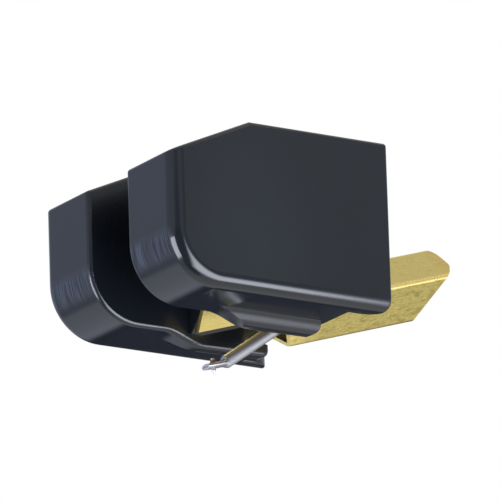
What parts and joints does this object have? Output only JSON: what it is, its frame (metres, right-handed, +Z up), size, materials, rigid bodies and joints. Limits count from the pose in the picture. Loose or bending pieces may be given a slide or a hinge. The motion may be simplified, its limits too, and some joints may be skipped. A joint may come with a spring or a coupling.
{
  "type": "phonograph stylus assembly",
  "caption": "Plug-in stylus for a record player pick-up: slotted black plastic grip, square brass sleeve standing on its corner, and a sprung aluminium cantilever with a diamond tip.",
  "frame": {"origin": "the point where the brass sleeve's axis crosses the seat, the rear face of the grip's block", "axes": "+Z up as it plays, +Y to the rear, the way it plugs in, X across the cheeks"},
  "size_m": [0.0172, 0.0273, 0.0159],
  "materials": {
    "black_plastic": "moulded, glossy",
    "brass": "rolled sheet, dull",
    "elastomer": "moulded, matt",
    "magnet_metal": "ground",
    "aluminium": "drawn tube",
    "pin_metal": "ground",
    "diamond": "polished"
  },
  "bodies": {
    "holder": {"grip": "black_plastic", "shank_sleeve": "brass"},
    "bearing": {"bearing_block": "elastomer"},
    "stylus": {"cantilever": "aluminium", "magnet": "magnet_metal", "stylus_pin": "pin_metal", "diamond_tip": "diamond"}
  },
  "joints": [
    {"name": "stylus_yaw", "type": "hinge", "parent": "holder", "child": "bearing", "pos_m": [0, 0.00105, 0.00032], "axis": [0, 0, 1], "range_deg": [-3, 3], "stiffness_Nm_per_rad": 0.009, "deforming": ["bearing_block"]},
    {"name": "stylus_pitch", "type": "hinge", "parent": "bearing", "child": "stylus", "pos_m": [0, 0.00105, 0.00032], "axis": [-1, 0, 0], "range_deg": [-2, 4], "stiffness_Nm_per_rad": 0.009, "deforming": ["bearing_block"]}
  ]
}
